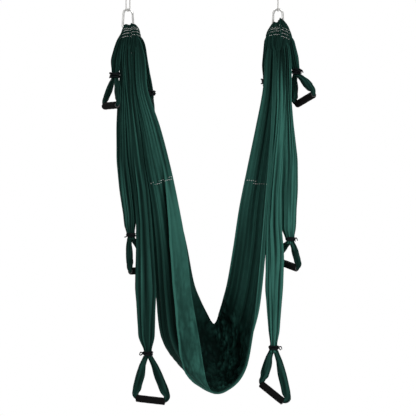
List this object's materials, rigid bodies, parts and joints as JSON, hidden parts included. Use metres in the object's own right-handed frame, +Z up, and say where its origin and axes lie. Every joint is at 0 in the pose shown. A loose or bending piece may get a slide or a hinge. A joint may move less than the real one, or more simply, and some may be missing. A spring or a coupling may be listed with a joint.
{
  "type": "aerial hammock",
  "caption": "Long cloth sling hung from ceiling eyes by cords and snap hooks, with padded strap handles beside both limbs.",
  "frame": {"origin": "halfway between the tops of the two ceiling plates", "axes": "+X to the viewer's right, from the left hook to the right one, +Y away from the viewer, +Z up"},
  "size_m": [0.7326, 0.3218, 1.4243],
  "materials": {
    "nylon": "dark green woven nylon, softly shiny",
    "foam": "matt black closed-cell foam",
    "core": "black plastic tube",
    "elastic": "black elastic cord",
    "steel": "bright zinc-plated steel",
    "cord": "white round cord"
  },
  "bodies": {
    "ceiling": {"left_ceiling_plate": "steel", "right_ceiling_plate": "steel", "left_ceiling_eye": "steel", "right_ceiling_eye": "steel"},
    "sling": {"left_cord_loop": "cord", "right_cord_loop": "cord", "left_hook_frame": "steel", "right_hook_frame": "steel", "left_hook_pin": "steel", "right_hook_pin": "steel", "hammock_cloth": "nylon"},
    "left_gate": {"left_hook_gate": "steel"},
    "right_gate": {"right_hook_gate": "steel"},
    "left_short_handle": {"left_short_strap": "nylon", "left_short_tie": "elastic"},
    "left_short_roller": {"left_short_grip": "foam", "left_short_grip_core": "core"},
    "left_medium_handle": {"left_medium_strap": "nylon", "left_medium_tie": "elastic"},
    "left_medium_roller": {"left_medium_grip": "foam", "left_medium_grip_core": "core"},
    "left_long_handle": {"left_long_strap": "nylon", "left_long_tie": "elastic"},
    "left_long_roller": {"left_long_grip": "foam", "left_long_grip_core": "core"},
    "left_inner_handle": {"left_inner_strap": "nylon", "left_inner_tie": "elastic"},
    "left_inner_roller": {"left_inner_grip": "foam", "left_inner_grip_core": "core"},
    "right_short_handle": {"right_short_strap": "nylon", "right_short_tie": "elastic"},
    "right_short_roller": {"right_short_grip": "foam", "right_short_grip_core": "core"},
    "right_medium_handle": {"right_medium_strap": "nylon", "right_medium_tie": "elastic"},
    "right_medium_roller": {"right_medium_grip": "foam", "right_medium_grip_core": "core"},
    "right_long_handle": {"right_long_strap": "nylon", "right_long_tie": "elastic"},
    "right_long_roller": {"right_long_grip": "foam", "right_long_grip_core": "core"},
    "right_inner_handle": {"right_inner_strap": "nylon", "right_inner_tie": "elastic"},
    "right_inner_roller": {"right_inner_grip": "foam", "right_inner_grip_core": "core"}
  },
  "joints": [
    {"name": "sling_swing", "type": "hinge", "parent": "ceiling", "child": "sling", "pos_m": [0, 0, -0.027], "axis": [1, 0, 0], "range_deg": [-40, 40]},
    {"name": "left_gate_hinge", "type": "hinge", "parent": "sling", "child": "left_gate", "pos_m": [-0.2391, 0, -0.1], "axis": [0, 1, 0], "range_deg": [0, 18], "stiffness_Nm_per_rad": 0.05, "springref_deg": -20.05},
    {"name": "right_gate_hinge", "type": "hinge", "parent": "sling", "child": "right_gate", "pos_m": [0.2391, 0, -0.1], "axis": [0, -1, 0], "range_deg": [0, 18], "stiffness_Nm_per_rad": 0.05, "springref_deg": -20.05},
    {"name": "left_short_swing", "type": "hinge", "parent": "sling", "child": "left_short_handle", "pos_m": [-0.255, 0, -0.143], "axis": [-1, 0, 0], "range_deg": [0, 45]},
    {"name": "left_medium_swing", "type": "hinge", "parent": "sling", "child": "left_medium_handle", "pos_m": [-0.255, 0, -0.143], "axis": [1, 0, 0], "range_deg": [0, 45]},
    {"name": "left_long_swing", "type": "hinge", "parent": "sling", "child": "left_long_handle", "pos_m": [-0.255, 0, -0.143], "axis": [-1, 0, 0], "range_deg": [0, 45]},
    {"name": "left_inner_swing", "type": "hinge", "parent": "sling", "child": "left_inner_handle", "pos_m": [-0.255, 0, -0.143], "axis": [1, 0, 0], "range_deg": [0, 45]},
    {"name": "right_short_swing", "type": "hinge", "parent": "sling", "child": "right_short_handle", "pos_m": [0.255, 0, -0.143], "axis": [1, 0, 0], "range_deg": [0, 45]},
    {"name": "right_medium_swing", "type": "hinge", "parent": "sling", "child": "right_medium_handle", "pos_m": [0.255, 0, -0.143], "axis": [1, 0, 0], "range_deg": [0, 45]},
    {"name": "right_long_swing", "type": "hinge", "parent": "sling", "child": "right_long_handle", "pos_m": [0.255, 0, -0.143], "axis": [-1, 0, 0], "range_deg": [0, 45]},
    {"name": "right_inner_swing", "type": "hinge", "parent": "sling", "child": "right_inner_handle", "pos_m": [0.255, 0, -0.143], "axis": [1, 0, 0], "range_deg": [0, 45]},
    {"name": "left_short_spin", "type": "hinge", "parent": "left_short_handle", "child": "left_short_roller", "pos_m": [-0.3126, -0.01, -0.4072], "axis": [0.4695, -0.8829, 0], "continuous": true},
    {"name": "left_medium_spin", "type": "hinge", "parent": "left_medium_handle", "child": "left_medium_roller", "pos_m": [-0.2158, 0.058, -0.9701], "axis": [0.6428, 0.766, 0], "continuous": true},
    {"name": "left_long_spin", "type": "hinge", "parent": "left_long_handle", "child": "left_long_roller", "pos_m": [-0.1779, -0.012, -1.4061], "axis": [0.9848, -0.1384, -0.1045], "continuous": true},
    {"name": "left_inner_spin", "type": "hinge", "parent": "left_inner_handle", "child": "left_inner_roller", "pos_m": [-0.1963, 0.12, -0.4641], "axis": [0.2419, 0.9703, 0], "continuous": true},
    {"name": "right_short_spin", "type": "hinge", "parent": "right_short_handle", "child": "right_short_roller", "pos_m": [0.3485, 0.026, -0.3844], "axis": [0.5348, -0.7928, 0.2924], "continuous": true},
    {"name": "right_medium_spin", "type": "hinge", "parent": "right_medium_handle", "child": "right_medium_roller", "pos_m": [0.2863, 0.036, -0.9478], "axis": [0.6861, -0.6861, -0.2419], "continuous": true},
    {"name": "right_long_spin", "type": "hinge", "parent": "right_long_handle", "child": "right_long_roller", "pos_m": [0.2347, -0.012, -1.3825], "axis": [0.7602, -0.2767, -0.5878], "continuous": true},
    {"name": "right_inner_spin", "type": "hinge", "parent": "right_inner_handle", "child": "right_inner_roller", "pos_m": [0.225, 0.115, -0.4258], "axis": [0.1736, 0.9848, 0], "continuous": true}
  ]
}
